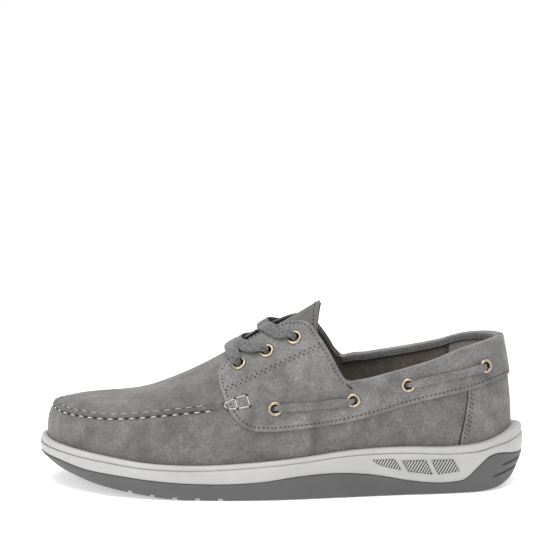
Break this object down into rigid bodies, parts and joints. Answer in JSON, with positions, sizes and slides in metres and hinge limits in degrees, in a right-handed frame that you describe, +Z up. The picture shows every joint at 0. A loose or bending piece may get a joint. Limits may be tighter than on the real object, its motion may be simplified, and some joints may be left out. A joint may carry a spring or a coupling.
{
  "type": "low-cut laced deck shoe",
  "caption": "Left low-cut moccasin-toe deck shoe with a cupped sole, laced instep, thong-threaded collar and a hinged tongue.",
  "frame": {"origin": "middle of the sole's box in plan, on the ground", "axes": "+Z up, toe towards -X and heel towards +X, outer (lateral) side of the foot towards -Y"},
  "size_m": [0.3, 0.1061, 0.1131],
  "materials": {
    "rubber": "matte moulded rubber",
    "foam": "matte moulded sidewall",
    "board": "cellulose board",
    "steel": "plain",
    "footbed": "brushed textile",
    "footbed_leather": "smooth",
    "suede": "nubuck, mottled grey",
    "backing": "non-woven",
    "stiffener": "plain",
    "lining": "brushed microfibre",
    "binding": "smooth",
    "eyelet_brass": "antique, rolled",
    "thong": "nubuck",
    "lace": "flat woven cotton",
    "aglet": "clear wound sleeve"
  },
  "bodies": {
    "shoe": {"outsole": "rubber", "cupsole": "foam", "vents_outer": "rubber", "vents_inner": "rubber", "insole_board": "board", "shank": "steel", "footbed": "footbed", "heel_pad": "footbed_leather", "vamp": "suede", "plug": "suede", "seam_roll_cord": "suede", "heel_cover": "suede", "quarter_outer": "suede", "quarter_inner": "suede", "facing_outer": "backing", "facing_inner": "backing", "toe_puff": "stiffener", "heel_stiffener": "stiffener", "vamp_lining": "lining", "quarter_lining_outer": "lining", "quarter_lining_inner": "lining", "heel_lining": "lining", "binding_outer": "binding", "binding_inner": "binding", "eyelets_outer": "eyelet_brass", "eyelets_inner": "eyelet_brass", "side_eyelets_outer": "eyelet_brass", "side_eyelets_inner": "eyelet_brass", "side_thong": "thong", "front_lace": "lace", "lace_tail_outer": "lace", "lace_tail_inner": "lace", "aglet_outer": "aglet", "aglet_inner": "aglet"},
    "tongue": {"tongue": "suede", "tongue_backing": "lining"}
  },
  "joints": [
    {"name": "tongue_hinge", "type": "hinge", "parent": "shoe", "child": "tongue", "pos_m": [-0.036, 0, 0.0745], "axis": [0, 1, 0], "range_deg": [0, 12], "stiffness_Nm_per_rad": 0.06, "springref_deg": -8.59}
  ]
}
